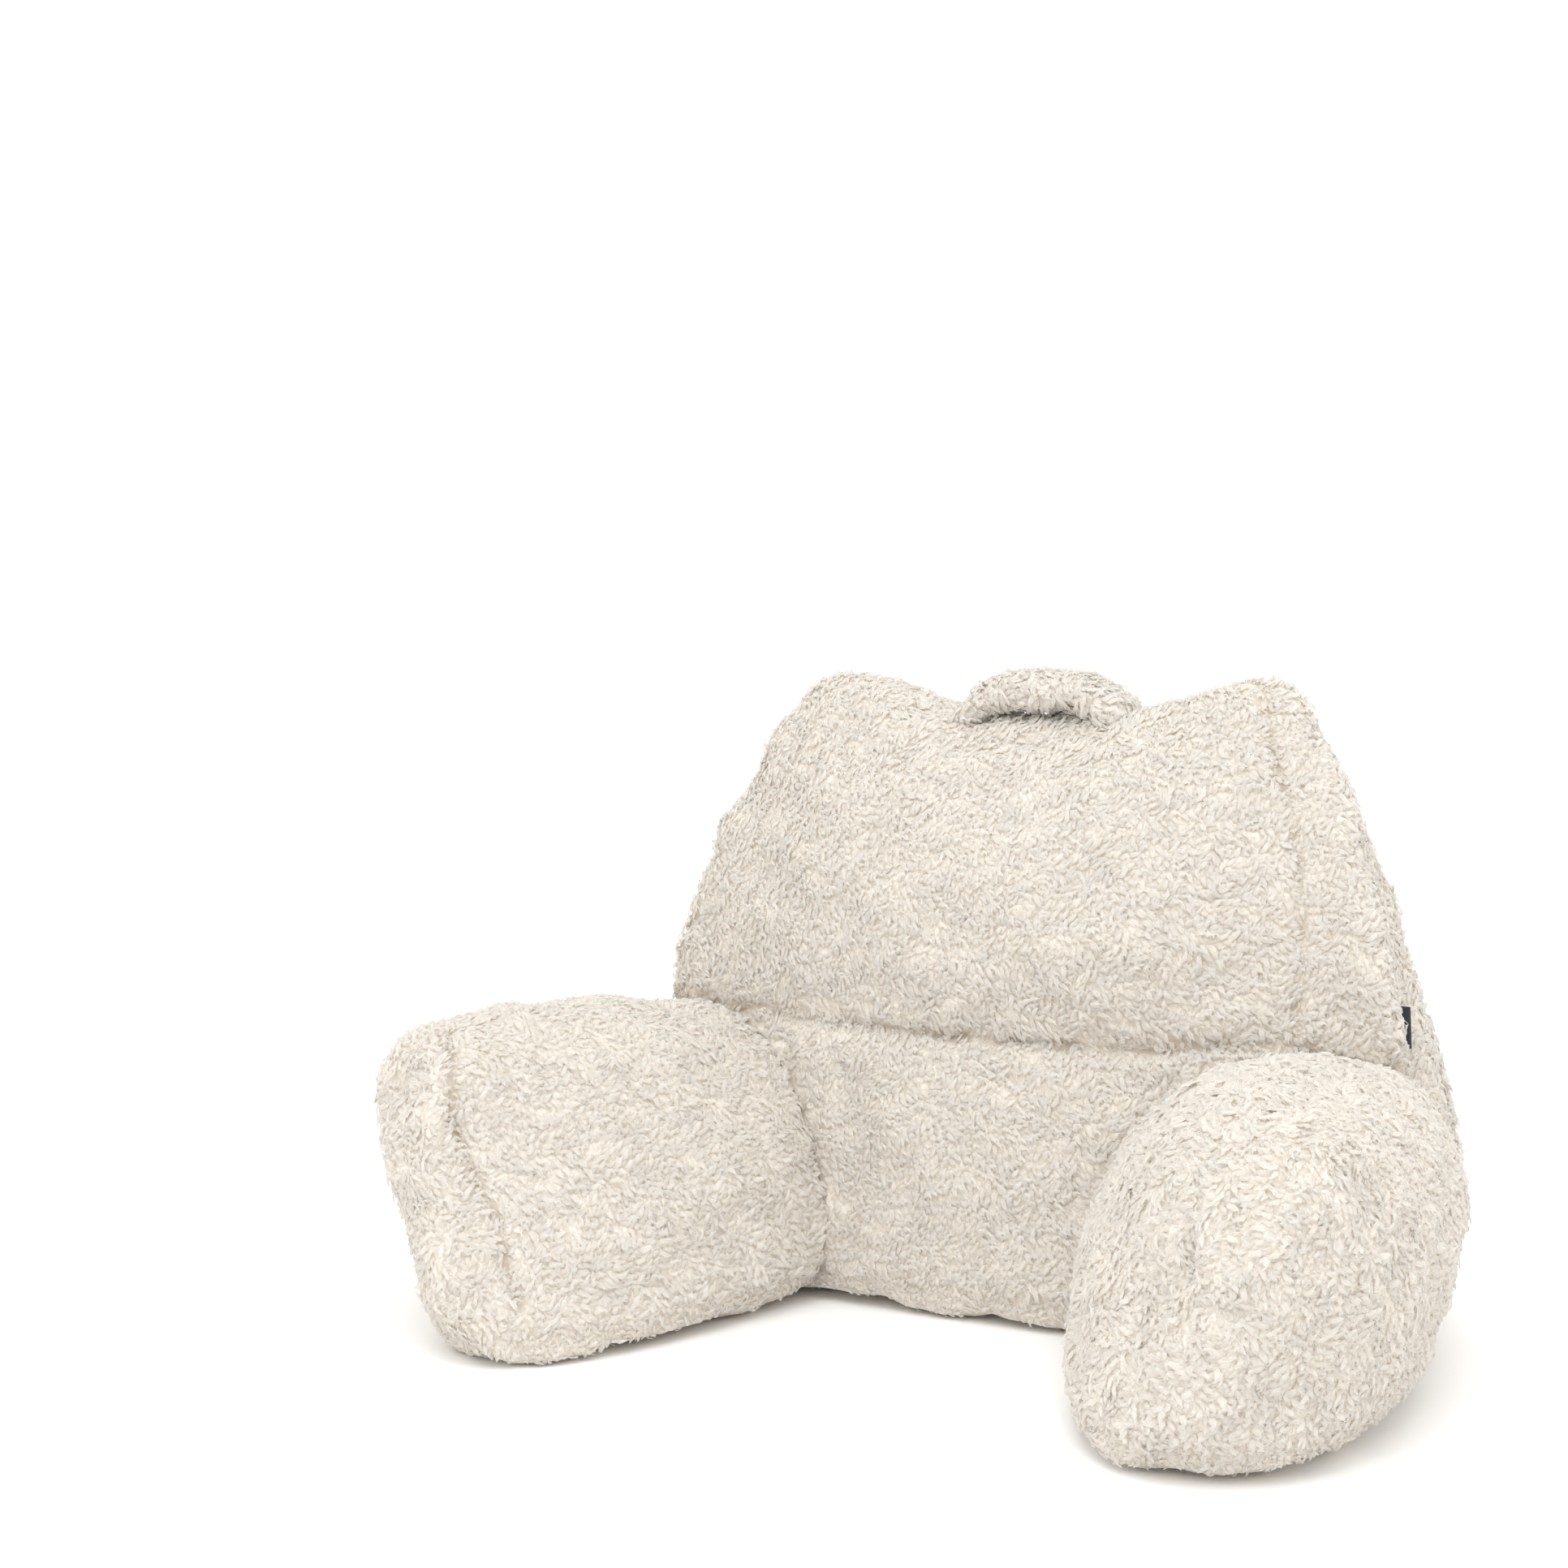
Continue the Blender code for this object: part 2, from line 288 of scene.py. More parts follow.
# ---- the curly locks of the pile, each modelled once
lock = {
    "kinds": 16,
    "lanes": 2,                          # faces across a lock
    "rows": 4,                           # and along it
    "length": (0.0120, 0.0152),
    "width": (0.0042, 0.0052),
    "arch": 0.0011,                      # how much lower its two edges lie
    "ragged": 0.36,                      # how much shorter some of its strands end
    "rise": (0.65, 1.10),                # radians, how steeply a lock leaves the cloth
    "fall": (-0.70, -0.15),              # and how it lies at its tip
    "swing": (1.05, 1.50),               # radians of its sideways wave
    "wave": 5.0,                         # and radians of that wave over its length
    "twist": 0.55,
    "sunk": 0.0004,                      # how deep its root sits in the cloth
    "steps": 24,                         # along its middle line
    "taper": 0.58,                       # how much narrower it is at its tip
    "taperPower": 2.6,
}
lockShelf = bpy.data.collections.new("fleeceLocks")
scene.collection.children.link(lockShelf)


def modelLock(number, chance):
    length, width = chance.uniform(*lock["length"]), chance.uniform(*lock["width"])
    rise, fall = chance.uniform(*lock["rise"]), chance.uniform(*lock["fall"])
    swing, twist = chance.uniform(*lock["swing"]), chance.uniform(-1.0, 1.0) * lock["twist"]
    phase = 2.0 * math.pi * number / lock["kinds"]   # neighbouring kinds curl nearly alike
    centre, spine, count = Vector((0.0, 0.0, -lock["sunk"])), [], lock["steps"]
    for step in range(count + 1):
        along = step / count
        pitch = rise + (fall - rise) * along ** 0.8
        heading = swing * math.sin(phase + lock["wave"] * along)
        roll = twist * (along - 0.3)
        ahead = Vector((math.sin(heading) * math.cos(pitch),
                        math.cos(heading) * math.cos(pitch), math.sin(pitch)))
        side = Vector((math.cos(heading), -math.sin(heading), 0.0))
        side = side * math.cos(roll) + side.cross(ahead) * math.sin(roll)
        spine.append((centre.copy(), side, side.cross(ahead)))
        centre += ahead * length / count
    bpy.ops.mesh.primitive_grid_add(
        x_subdivisions=lock["lanes"], y_subdivisions=lock["rows"], size=1.0
    )
    piece = bpy.context.object
    piece.name = f"lock{number:02d}"
    ends = [1.0 - chance.uniform(0.0, lock["ragged"]) for lane in range(lock["lanes"] + 1)]
    for vertex in piece.data.vertices:
        off = vertex.co.x * 2.0
        along = (vertex.co.y + 0.5) * ends[round((vertex.co.x + 0.5) * lock["lanes"])]
        middle, side, up = spine[round(along * count)]
        half = width / 2.0 * (0.7 + 0.3 * math.sin(math.pi * min(1.0, along * 1.6)))
        half *= 1.0 - lock["taper"] * along ** lock["taperPower"]
        vertex.co = middle + side * off * half - up * lock["arch"] * off * off
    piece.data.uv_layers[0].name = "lockMap"
    bpy.ops.object.shade_smooth()
    for shelf in list(piece.users_collection):
        shelf.objects.unlink(piece)
    lockShelf.objects.link(piece)
    piece.data.materials.append(curlyFleece)
    return piece


chance = random.Random(7)
locks = [modelLock(number, chance) for number in range(lock["kinds"])]
print("locks modelled:", len(locks))


# ---- pile: locks set over a cushion's cloth
def pileTree(name, settings):
    group = bpy.data.node_groups.new(name, "GeometryNodeTree")
    group.interface.new_socket("Geometry", in_out="INPUT", socket_type="NodeSocketGeometry")
    group.interface.new_socket("Geometry", in_out="OUTPUT", socket_type="NodeSocketGeometry")
    tree = Wire(group)

    def named(attribute, kind):
        return tree.node("GeometryNodeInputNamedAttribute", {"data_type": kind}, {"Name": attribute})

    def anyValue(low, high, seed, kind="FLOAT"):
        first, output = {"FLOAT": (2, 1), "FLOAT_VECTOR": (0, 0)}[kind]
        return tree.node(
            "FunctionNodeRandomValue", {"data_type": kind},
            {first: low, first + 1: high, "Seed": seed}, output,
        )

    cloth = tree.node("NodeGroupInput")
    spots = tree.node(
        "GeometryNodeDistributePointsOnFaces",
        {"distribute_method": "POISSON"},
        {"Mesh": cloth, "Distance Min": settings["spacing"], "Density Max": settings["most"],
         "Density Factor": named(settings["panel"], "FLOAT"), "Seed": settings["seed"]},
    )
    here = tree.node("GeometryNodeInputPosition")
    flow = named("pileFlow", "FLOAT_VECTOR")
    toSeam = 1.0
    kept = spots
    if settings["seams"]:                # bare along each seam, and parted beside it
        line = tree.node("GeometryNodeObjectInfo", {}, {"Object": settings["seams"]})
        close = tree.node(
            "GeometryNodeProximity", {"target_element": "EDGES"}, {0: line.wire("Geometry")}
        )
        gap = close.wire("Distance")
        toSeam = tree.node(
            "ShaderNodeMapRange", {"interpolation_type": "SMOOTHSTEP"},
            {"Value": gap, "From Min": settings["bare"], "From Max": settings["parting"]},
        )
        away = tree.node(
            "ShaderNodeVectorMath", {"operation": "NORMALIZE"},
            {0: tree.node("ShaderNodeVectorMath", {"operation": "SUBTRACT"}, {0: here, 1: close})},
        )
        pull = tree.node(
            "ShaderNodeVectorMath", {"operation": "SCALE"},
            {0: away, "Scale": (1.0 - toSeam) * named("crease", "FLOAT") * settings["part"]},
        )
        flow = tree.node("ShaderNodeVectorMath", {"operation": "ADD"}, {0: flow, 1: pull})
        kept = tree.node(
            "GeometryNodeDeleteGeometry", {"domain": "POINT"},
            {"Geometry": spots, "Selection": tree.node(
                "FunctionNodeCompare", {"data_type": "FLOAT", "operation": "LESS_THAN"},
                {0: gap, 1: settings["bare"]})},
        )
    upright = tree.node(
        "FunctionNodeAlignRotationToVector", {"axis": "Z"}, {"Vector": spots.wire("Normal")}
    )
    lying = tree.node(
        "FunctionNodeAlignRotationToVector",
        {"axis": "Y", "pivot_axis": "Z"},
        {"Rotation": upright, "Vector": flow},
    )
    most = (settings["tilt"], settings["tilt"], settings["tousle"])
    turn = anyValue(tuple(-a for a in most), most, 11, "FLOAT_VECTOR")
    turned = tree.node(
        "FunctionNodeRotateRotation",
        {"rotation_space": "LOCAL"},
        {"Rotation": lying, "Rotate By": tree.node("FunctionNodeEulerToRotation", {}, {0: turn})},
    )
    shelf = tree.node(
        "GeometryNodeCollectionInfo",
        {},
        {"Collection": lockShelf, "Separate Children": True, "Reset Children": True},
    )
    size = named("pileLength", "FLOAT") * anyValue(*settings["sizes"], 12)
    size = size * (toSeam * settings["seamShort"] + (1.0 - settings["seamShort"]))
    patch = tree.node(                   # locks side by side curl alike
        "ShaderNodeTexNoise", {"noise_dimensions": "3D"},
        {"Vector": here, "Scale": settings["clump"], "Detail": 1.0},
    )
    kind = patch * lock["kinds"] * settings["curls"] + anyValue(0.0, settings["mixed"], 13)
    kind = kind.sums("FLOORED_MODULO", kind, float(lock["kinds"]))
    placed = tree.node(
        "GeometryNodeInstanceOnPoints",
        {},
        {"Points": kept, "Instance": shelf, "Pick Instance": True,
         "Instance Index": kind.sums("FLOOR", kind), "Rotation": turned, "Scale": size},
    )
    tinted = tree.node(
        "GeometryNodeStoreNamedAttribute",
        {"data_type": "FLOAT", "domain": "INSTANCE"},
        {"Geometry": placed, "Name": "lockTint",
         "Value": anyValue(0.0, 0.999, 14) * fleece["tintColumns"]},
    )
    real = tree.node("GeometryNodeRealizeInstances", {}, {0: tinted})
    parts = tree.node("ShaderNodeSeparateXYZ", {}, {0: named("lockMap", "FLOAT_VECTOR")})
    tint = named("lockTint", "FLOAT")
    across = (parts * 0.98 + 0.01 + tint.sums("FLOOR", tint)) / fleece["tintColumns"]
    spread = tree.node("ShaderNodeCombineXYZ", {}, {0: across, 1: parts.wire("Y")})
    baked = tree.node(
        "GeometryNodeStoreNamedAttribute",
        {"data_type": "FLOAT2", "domain": "CORNER"},
        {"Geometry": real, "Name": "OFBake", "Value": spread},
    )
    mapped = tree.node(
        "GeometryNodeStoreNamedAttribute",
        {"data_type": "FLOAT2", "domain": "CORNER"},
        {"Geometry": baked, "Name": "lockMap", "Value": named("OFBake", "FLOAT_VECTOR")},
    )
    tree.node("NodeGroupOutput", {}, {0: mapped})
    return group


def seamObject(cloth, name, seams):      # the seams as thin lines on the cloth
    tree = BVHTree.FromPolygons(
        [v.co for v in cloth.data.vertices], [p.vertices for p in cloth.data.polygons]
    )
    points, edges = [], []
    for _, line in seams:
        run = alongLine(line, tree)
        edges += [(len(points) + i, len(points) + i + 1) for i in range(len(run) - 1)]
        points += run
    mesh = bpy.data.meshes.new(name)
    mesh.from_pydata(points, edges, [])
    piece = bpy.data.objects.new(name, mesh)
    scene.collection.objects.link(piece)
    return piece


def growPile(cloth, name, settings):
    piece = bpy.data.objects.new(name, cloth.data.copy())
    scene.collection.objects.link(piece)
    grown = piece.modifiers.new("Pile", "NODES")
    grown.node_group = pileTree(name + "Tree", settings)
    applyAll(piece)
    points = pointsOf(piece)
    points[:, 2] = np.maximum(points[:, 2], settings["pressed"])
    movePoints(piece, points)
    if "lockTint" in piece.data.attributes:
        piece.data.attributes.remove(piece.data.attributes["lockTint"])
    if not piece.data.materials:
        piece.data.materials.append(curlyFleece)
    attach(piece, "root")
    faces = sum(len(p.vertices) - 2 for p in piece.data.polygons)
    print("pile grown:", name, "triangles", faces)
    return piece


# ---- filled forms
filling = {                              # what they all share
    "sewnInset": 0.001,                  # how far inside its solid the cloth is where it is sewn
    "underShift": 0.03,                  # keeps the base seam off the underside
    "seamScale": 45.0,                   # how quickly a seam's strength varies along it
    "held": (0.004, 0.016),              # from a seam, where the hold weakens and where it ends
    "floorHold": 0.004,                  # the cloth this near the floor is held too
    "quality": 5, "moments": 20,         # of the cloth simulation
    "lumpScale": 24.0, "gatherScale": 58.0,
    "fillReach": 0.020,                  # how far from a seam the cloth is fuller
    "lowest": 0.002,                     # the cloth's lowest place
    "fineSwirl": 2.7, "fineShare": 0.6,  # a second swirl of the pile, finer and weaker
    "under": 0.012,                      # up to this height a downward face is the underside
    "underLength": 0.6,                  # what is left of the pile's length there
    "underCover": 0.12,                  # and of its locks
    "shortAt": (0.001, 0.008),           # from a seam, where the pile is short and where it is full
    "seamLength": 0.80,                  # and the share of its length beside the seam
    "lowAt": (0.004, 0.030),             # the same above the floor
    "lowLength": 0.7,
    "creaseWidth": 0.006,
}


def treeOf(node):
    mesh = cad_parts[node].data
    return BVHTree.FromPolygons([v.co for v in mesh.vertices], [p.vertices for p in mesh.polygons])


def distancesTo(tree, points):
    return np.array([tree.find_nearest(Vector(p))[3] for p in points])


def alongLine(line, tree, step=0.002):   # closely set points on a seam, on the cloth
    found = []
    for start, end in zip(line, line[1:]):
        start, end = Vector(start), Vector(end)
        count = max(1, round((end - start).length / step))
        for i in range(count + 1):
            found.append(tree.find_nearest(start.lerp(end, i / count))[0])
    return found


def nearestSeam(points, seams, tree):    # how far the closest seam is, and how strong
    spots, strengths = [], []
    for strength, line in seams:
        run = alongLine(line, tree)
        spots += run
        strengths += [
            strength * (0.75 + 0.9 * noise.noise(spot * filling["seamScale"])) for spot in run
        ]
    search = kdtree.KDTree(len(spots))
    for i, spot in enumerate(spots):
        search.insert(spot, i)
    search.balance()
    found = [search.find(Vector(p)) for p in points]
    return np.array([f[2] for f in found]), np.array([strengths[f[1]] for f in found])


def fillForm(name, node, settings):
    piece = bpy.data.objects.new(name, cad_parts[node].data.copy())
    scene.collection.objects.link(piece)
    piece.data.materials.clear()
    wakeOnly(piece)
    bpy.ops.object.mode_set(mode="EDIT")
    bpy.ops.mesh.select_all(action="SELECT")
    bpy.ops.mesh.remove_doubles(threshold=0.00005)
    bpy.ops.mesh.normals_make_consistent(inside=False)
    bpy.ops.object.mode_set(mode="OBJECT")
    piece.data.remesh_voxel_size = settings["weave"]
    bpy.ops.object.voxel_remesh()
    points, normals = pointsOf(piece), normalsOf(piece)

    joined = np.full(len(points), 1.0)               # how far from a neighbour it is sewn to
    for neighbour in settings["sewnTo"]:
        joined = np.minimum(joined, distancesTo(treeOf(neighbour), points))
    open_ = easeIn(joined, 0.001, settings["joinReach"])
    inset = filling["sewnInset"] + (settings["inset"] - filling["sewnInset"]) * open_
    toSeam, strength = np.full(len(points), 1.0), np.full(len(points), 0.0)
    if settings["seams"]:
        toSeam, strength = nearestSeam(points, settings["seams"], treeOf(node))
    if settings["baseSeam"]:
        level = np.abs(points[:, 2] - settings["baseSeam"])
        level += filling["underShift"] * (normals[:, 2] < -0.7)
        strength = np.where(level < toSeam, settings["baseStrength"], strength)
        toSeam = np.minimum(toSeam, level)
    for place, reach, push in settings["plumps"]:
        far = np.linalg.norm(points - np.array(place), axis=1)
        inset = inset - push * np.exp(-((far / reach) ** 2))
    points = points - normals * inset[:, None]
    movePoints(piece, points)

    if settings["swell"]:
        sewn = piece.vertex_groups.new(name="sewn")
        hold = np.maximum((1.0 - easeIn(toSeam, *filling["held"])) * strength, 1.0 - open_)
        hold = np.maximum(hold, points[:, 2] < settings["inset"] + filling["floorHold"])
        for i in np.nonzero(hold > 0.02)[0]:
            sewn.add([int(i)], float(hold[i]), "REPLACE")
        cloth = piece.modifiers.new("Cloth", "CLOTH")
        cloth.settings.use_pressure = True
        cloth.settings.uniform_pressure_force = settings["pressure"]
        cloth.settings.effector_weights.gravity = 0.0
        cloth.settings.vertex_group_mass = "sewn"
        cloth.settings.quality = filling["quality"]
        for moment in range(1, filling["moments"] + 1):
            scene.frame_set(moment)
        applyAll(piece)
        moved = pointsOf(piece) - points
        far = np.linalg.norm(moved, axis=1)
        moved *= (np.minimum(far, settings["swell"]) / np.maximum(far, 1e-9))[:, None]
        points = points + moved
        movePoints(piece, points)
        scene.frame_set(1)
        piece.vertex_groups.clear()

    normals = normalsOf(piece)
    groove = settings["grooveDepth"] * np.exp(-((toSeam / settings["grooveWidth"]) ** 2)) * strength
    groove -= settings["seamFill"] * np.exp(-((toSeam / filling["fillReach"]) ** 2)) * open_
    shift = Vector((3.1, 0.0, 5.7))
    lumps = np.array([noise.noise(Vector(p) * filling["lumpScale"] + shift)
                      + noise.noise(Vector(p) * filling["gatherScale"]) * settings["gathers"]
                      for p in points])
    out = settings["lumps"] * lumps * open_ * easeIn(toSeam, 0.0, filling["fillReach"]) - groove
    points = points + normals * out[:, None]
    points[:, 2] = np.maximum(points[:, 2], filling["lowest"])
    movePoints(piece, points)
    for polygon in piece.data.polygons:
        polygon.use_smooth = True
    piece.data.materials.append(fleeceGround)

    normals = normalsOf(piece)
    bias, force = Vector(settings["lie"]), settings["swirlForce"]
    flow = []
    for p, n in zip(points, normals):
        spot = Vector(p) * settings["swirl"]
        way = bias + noise.noise_vector(spot) * force
        way += noise.noise_vector(spot * filling["fineSwirl"]) * force * filling["fineShare"]
        flow.append(way - Vector(n) * way.dot(Vector(n)))
    storeOn(piece, "pileFlow", "FLOAT_VECTOR", np.array([tuple(w) for w in flow]))
    under = (normals[:, 2] < -0.75) & (points[:, 2] < filling["under"])
    beside = filling["seamLength"] + (1.0 - filling["seamLength"]) * easeIn(toSeam, *filling["shortAt"])
    low = filling["lowLength"] + (1.0 - filling["lowLength"]) * easeIn(points[:, 2], *filling["lowAt"])
    length = settings["pile"] * beside * low * np.where(under, filling["underLength"], 1.0)
    storeOn(piece, "pileLength", "FLOAT", length)
    # the seam creases: the locks part from them, and the ground takes painted shade there
    crease = np.exp(-((toSeam / filling["creaseWidth"]) ** 2)) * np.clip(strength, 0.0, 1.0)
    storeOn(piece, "crease", "FLOAT", crease)
    cover = (open_ > 0.05) * np.where(under, filling["underCover"], 1.0)
    for panel, share in settings["panels"](points, normals).items():
        storeOn(piece, panel, "FLOAT", cover * share)
    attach(piece, "root")
    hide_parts(node)
    print("form filled:", name, "faces", len(piece.data.polygons))
    return piece


back = {
    "middle": -0.0104,                   # where its middle lies across
    "frontHalf": 0.172,                  # half the width of the front panel
    "rearFrom": 0.13,                    # the rear panel starts here
    "rearTurn": 0.35,                    # and faces back at least this much
}


def mirrored(line):                      # the other side of the back cushion's middle
    return [(2.0 * back["middle"] - x, y, z) for x, y, z in line]


def backPanels(points, normals):         # which of three stretches of pile a place wears
    rear = (normals[:, 1] > back["rearTurn"]) & (points[:, 1] > back["rearFrom"])
    front = ~rear & (np.abs(points[:, 0] - back["middle"]) < back["frontHalf"])
    return {"panelFront": front * 1.0, "panelRear": rear * 1.0, "panelSides": (~rear & ~front) * 1.0}


def onePanel(points, normals):
    return {"panelAll": np.ones(len(points))}


frontSeam = [(0.174, 0.161, 0.457), (0.183, 0.145, 0.429), (0.200, 0.131, 0.389),
             (0.213, 0.121, 0.361), (0.223, 0.108, 0.322), (0.229, 0.098, 0.289),
             (0.230, 0.089, 0.255), (0.229, 0.078, 0.216)]
rearSeam = [(0.300, 0.129, 0.020), (0.320, 0.134, 0.070), (0.316, 0.137, 0.130),
            (0.304, 0.139, 0.178), (0.292, 0.139, 0.204), (0.284, 0.143, 0.238),
            (0.268, 0.149, 0.300), (0.250, 0.163, 0.360), (0.226, 0.175, 0.410),
            (0.176, 0.185, 0.465)]
backCushion = {
    "weave": 0.007,                      # size of the cloth's cells
    "inset": 0.0025,                     # how far inside its solid the cloth starts
    "swell": 0.003, "pressure": 4.0,     # the most that the filling moves it, and its push
    "sewnTo": ["arm_left", "arm_right"],
    "joinReach": 0.016,                  # this far from a neighbour the cloth is free
    "baseSeam": 0.022, "baseStrength": 0.4,
    "grooveDepth": 0.0040, "grooveWidth": 0.0045,
    "seamFill": 0.004,                   # how much fuller the cloth is beside a seam
    "lumps": 0.006, "gathers": 0.35,     # uneven filling, and the share of its finer part
    "pile": 1.0,                         # scale of its locks
    "lie": (1.0, 0.0, 0.05),             # the way they lie
    "swirl": 20.0, "swirlForce": 0.95,   # how tightly and how far they stray from it
    "fill": 0.7,
    "seams": [                           # how strongly each is drawn in, and its run
        (1.0, [(-0.300, 0.092, 0.207), (-0.245, 0.074, 0.209), (-0.115, 0.055, 0.208),
               (0.0, 0.052, 0.206), (0.085, 0.055, 0.205), (0.120, 0.058, 0.205),
               (0.152, 0.062, 0.210), (0.193, 0.070, 0.213), (0.229, 0.078, 0.216),
               (0.246, 0.079, 0.209), (0.292, 0.119, 0.196)]),
        (0.8, frontSeam), (0.25, mirrored(frontSeam)), (0.55, rearSeam), (0.6, mirrored(rearSeam)),
        (0.25, [(-0.195, 0.170, 0.460), (-0.100, 0.176, 0.438), (-0.0104, 0.178, 0.431),
                (0.080, 0.176, 0.438), (0.174, 0.170, 0.460)]),
    ],
    "panels": backPanels,
    # a place, its reach, and how much fuller or flatter it is
    "plumps": [((-0.236, 0.160, 0.437), 0.045, 0.005), ((0.285, 0.190, 0.240), 0.060, 0.002),
               ((0.304, 0.190, 0.165), 0.050, 0.002), ((0.216, 0.175, 0.422), 0.035, -0.007),
               ((0.312, 0.194, 0.080), 0.040, -0.004), ((-0.010, 0.176, 0.431), 0.050, 0.007)],
}
leftArm = dict(
    backCushion,
    sewnTo=["back_cushion"], panels=onePanel, lie=(0.3, 0.75, -0.25), fill=0.75,
    plumps=[((-0.362, -0.210, 0.155), 0.045, 0.006)],
    seams=[(1.25, [(-0.317, -0.197, 0.221), (-0.295, -0.219, 0.212), (-0.282, -0.235, 0.169),
                  (-0.264, -0.237, 0.133), (-0.242, -0.239, 0.104), (-0.222, -0.248, 0.061),
                  (-0.205, -0.248, 0.022)]),
           (0.3, [(-0.317, -0.197, 0.221), (-0.350, -0.195, 0.213), (-0.385, -0.200, 0.170),
                  (-0.375, -0.205, 0.110), (-0.345, -0.215, 0.060), (-0.315, -0.225, 0.022)])],
)
rightArm = dict(
    leftArm,
    lie=(-0.3, 0.2, -0.6),
    plumps=[((0.372, 0.020, 0.090), 0.070, -0.004)],
    seams=[(0.3, [(0.354, -0.161, 0.219), (0.355, -0.210, 0.212), (0.348, -0.237, 0.189),
                  (0.327, -0.261, 0.146), (0.305, -0.258, 0.112), (0.288, -0.256, 0.089),
                  (0.265, -0.252, 0.059), (0.250, -0.251, 0.036), (0.258, -0.255, 0.015)]),
           (0.3, [(0.354, -0.161, 0.219), (0.380, -0.135, 0.190), (0.391, -0.109, 0.158),
                  (0.396, -0.121, 0.129), (0.392, -0.140, 0.080), (0.375, -0.160, 0.022)])],
)
carryStrap = dict(
    backCushion,
    weave=0.004, inset=-0.0025, swell=0.0, lumps=0.001,
    sewnTo=[], seams=[], plumps=[], baseSeam=0.0, grooveDepth=0.0, seamFill=0.0,
    pile=1.15, lie=(0.7, 0.0, -0.5), panels=onePanel, fill=0.5,
)
backForm = fillForm("backCushion", "back_cushion", backCushion)
leftForm = fillForm("leftArm", "arm_left", leftArm)
rightForm = fillForm("rightArm", "arm_right", rightArm)
strapForm = fillForm("carryStrap", "handle", carryStrap)

backLines = seamObject(backForm, "backLines", backCushion["seams"])
leftLines = seamObject(leftForm, "leftLines", leftArm["seams"])
rightLines = seamObject(rightForm, "rightLines", rightArm["seams"])
pile = {
    "panel": "panelAll", "seams": backLines, "seed": 3,
    "spacing": 0.0030,                   # the least between two locks
    "tousle": 0.28,                      # radians, how far a lock turns from the lie
    "most": 200000.0,                    # locks on a square metre, before spacing thins them
    "bare": 0.0006,                      # this close to a seam there are none
    "parting": 0.0055, "part": 0.8,      # how far from a seam they part, and how strongly
    "seamShort": 0.15,                   # how much shorter they are there
    "tilt": 0.15,                        # radians, each way
    "sizes": (0.8, 1.2),
    "clump": 38.0,                       # scale of the patches in which locks curl alike
    "curls": 3.0,                        # how often the kinds repeat over those patches
    "mixed": 2.2,                        # how many kinds mix in one patch
    "pressed": 0.0008,                   # no lock is lower than this: it rests flat
}
growPile(backForm, "pileFront", dict(pile, panel="panelFront", spacing=0.00275))
growPile(backForm, "pileRear", dict(pile, panel="panelRear", seed=4, spacing=0.0036))
growPile(backForm, "pileSides", dict(pile, panel="panelSides", seed=5, spacing=0.0026))
growPile(leftForm, "pileLeftArm", dict(pile, seed=6, seams=leftLines))
growPile(rightForm, "pileRightArm", dict(pile, seed=8, seams=rightLines))
growPile(strapForm, "pileStrap", dict(pile, seed=9, spacing=0.0022, seams=None))
for lines in (backLines, leftLines, rightLines):
    bpy.data.objects.remove(lines)
for form in (backForm, leftForm, rightForm, strapForm):
    for name in [a.name for a in form.data.attributes if a.name.startswith(("pile", "panel"))]:
        form.data.attributes.remove(form.data.attributes[name])
for piece in locks:
    bpy.data.objects.remove(piece)
bpy.data.collections.remove(lockShelf)


# ---- side tag, a folded tape
sideTag = {
    "centre": (0.2866, 0.1352, 0.2250),
    "reach": 0.024,                      # from its seam end to its fold
    "inner": 0.0142,                     # how far the seam end lies inward of the centre
    "height": 0.030,
    "lean": 0.0008,
    "gap": 0.0012,                       # between its two layers
    "thickness": 0.00035,
    "wave": 0.0007,                      # how much it ripples
    "cloth": (0.016, 0.019, 0.034, 1.0), "edge": (0.035, 0.038, 0.055, 1.0),
    "ribs": 9000.0, "threads": 7000.0,   # of its weave, up and across
}


def tagFinish():
    finish, tree, shader = newFinish("darkTape", {"Roughness": 0.7, "Sheen Weight": 0.15})
    place = tree.node("ShaderNodeTexCoord").wire("Object")
    parts = tree.node("ShaderNodeSeparateXYZ", {}, {0: place})
    ribs = tree.sums("SINE", parts.wire("Z") * sideTag["ribs"])
    threads = tree.sums("SINE", parts * sideTag["threads"])
    weave = ribs * threads
    colour = blendColours(tree, weave * 0.5 + 0.5, sideTag["cloth"], sideTag["edge"])
    relief = tree.node("ShaderNodeBump", {}, {"Strength": 0.5, "Distance": 0.0002, "Height": weave})
    tree.tree.links.new(colour.socket, shader.inputs["Base Color"])
    tree.tree.links.new(relief.socket, shader.inputs["Normal"])
    return finish


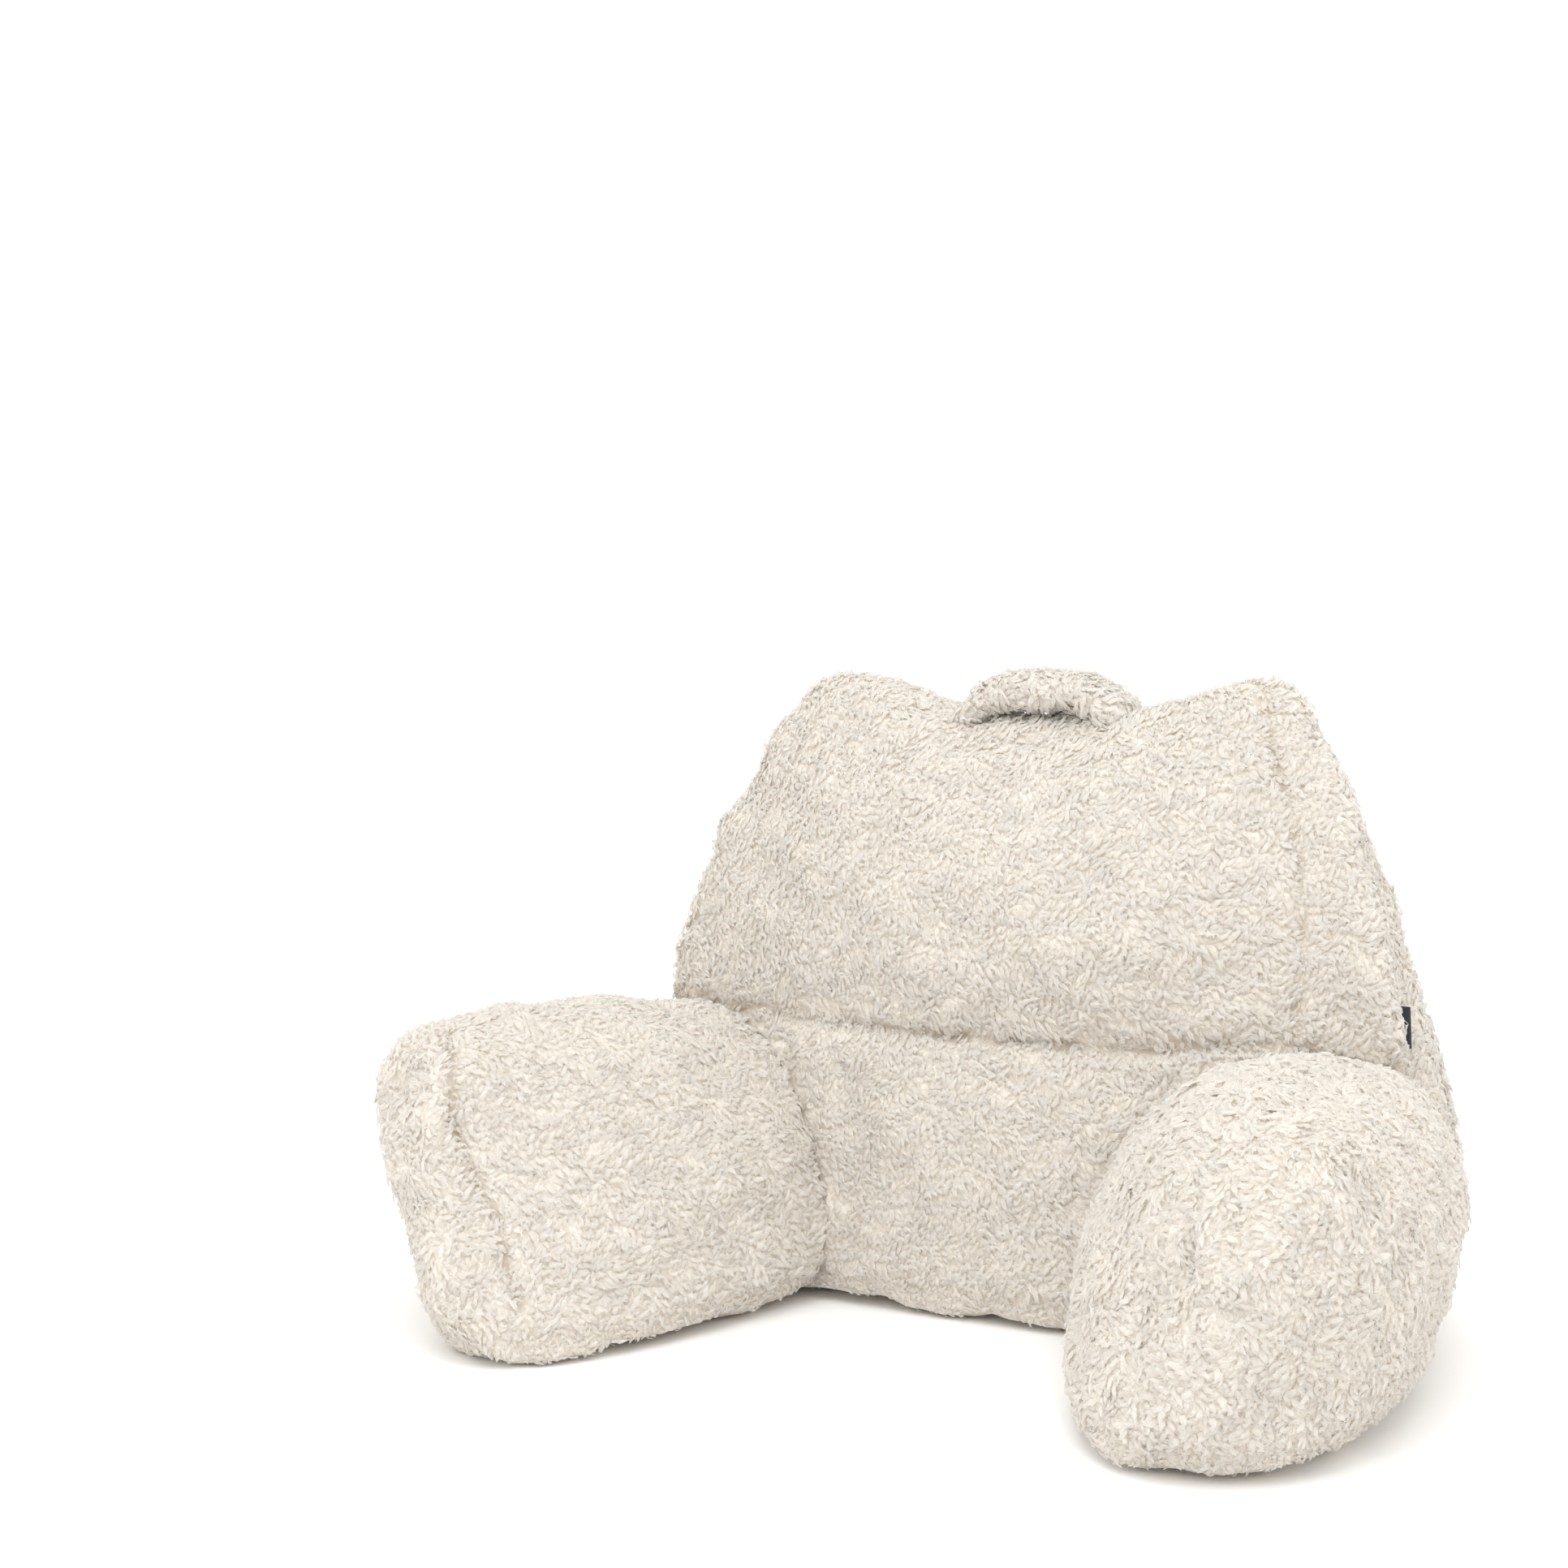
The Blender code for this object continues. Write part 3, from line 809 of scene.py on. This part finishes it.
def foldTag():
    x, y, z = sideTag["centre"]
    bpy.ops.mesh.primitive_grid_add(x_subdivisions=28, y_subdivisions=12, size=1.0)
    piece = bpy.context.object
    piece.name = "sideTag"
    half = sideTag["reach"]
    bend = sideTag["gap"] / 2.0
    for vertex in piece.data.vertices:
        run = vertex.co.x * 2.0 * half               # along the tape, 0 at the fold
        up = vertex.co.y
        if abs(run) < bend * math.pi / 2.0:
            angle = run / bend
            out, over = half - bend + bend * math.cos(angle), bend * math.sin(angle)
        else:
            out = half - bend - (abs(run) - bend * math.pi / 2.0)
            over = math.copysign(bend, run)
        wave = sideTag["wave"] * math.sin(2.2 * up + 0.6) * out / half
        out -= sideTag["lean"] * up * 2.0
        vertex.co = (x - sideTag["inner"] + out, y + over + wave, z + up * sideTag["height"])
    tape = piece.modifiers.new("Tape", "SOLIDIFY")
    tape.thickness = sideTag["thickness"]
    tape.offset = 0.0
    applyAll(piece)
    bpy.ops.object.shade_smooth_by_angle(angle=math.radians(50))
    piece.data.materials.append(tagFinish())
    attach(piece, "root")
    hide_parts("side_tag")
    print("tag folded")


foldTag()


# ---- floor and light
studio = {
    "floor": (0.95, 0.95, 0.95, 1.0), "floorSize": 14.0,
    "sky": (1.0, 0.99, 0.972, 1.0), "skyStrength": 1.25,
    "light": (0.97, 0.985, 1.0),
    "lights": [                          # name, place, what it faces, size, power
        ("topLight", (0.7, -1.2, 2.5), (0.0, 0.0, 0.2), 1.8, 27.0),
        ("frontLight", (-1.6, -2.4, 1.4), (0.0, 0.0, 0.25), 3.2, 5.0),
    ],
    "bounces": 7,                        # so that light goes on from lock to lock
}
scene.cycles.diffuse_bounces = studio["bounces"]
bpy.ops.mesh.primitive_plane_add(size=studio["floorSize"], location=(0.0, 0.0, 0.0))
floor = bpy.context.object
floor.name = "studioFloor"
paint = newFinish(
    "paleFloor", {"Base Color": studio["floor"], "Roughness": 0.9, "Specular IOR Level": 0.1}
)
floor.data.materials.append(paint[0])

world = bpy.data.worlds.new("studio")
scene.world = world
world.use_nodes = True
sky = world.node_tree.nodes["Background"]
sky.inputs["Color"].default_value = studio["sky"]
sky.inputs["Strength"].default_value = studio["skyStrength"]
for name, place, aim, size, power in studio["lights"]:
    bpy.ops.object.light_add(type="AREA", location=place)
    light = bpy.context.object
    light.name = name
    light.data.energy = power
    light.data.color = studio["light"]
    light.data.size = size
    light.rotation_mode = "QUATERNION"
    light.rotation_quaternion = (Vector(aim) - Vector(place)).to_track_quat("-Z", "Y")
print("floor and light set")
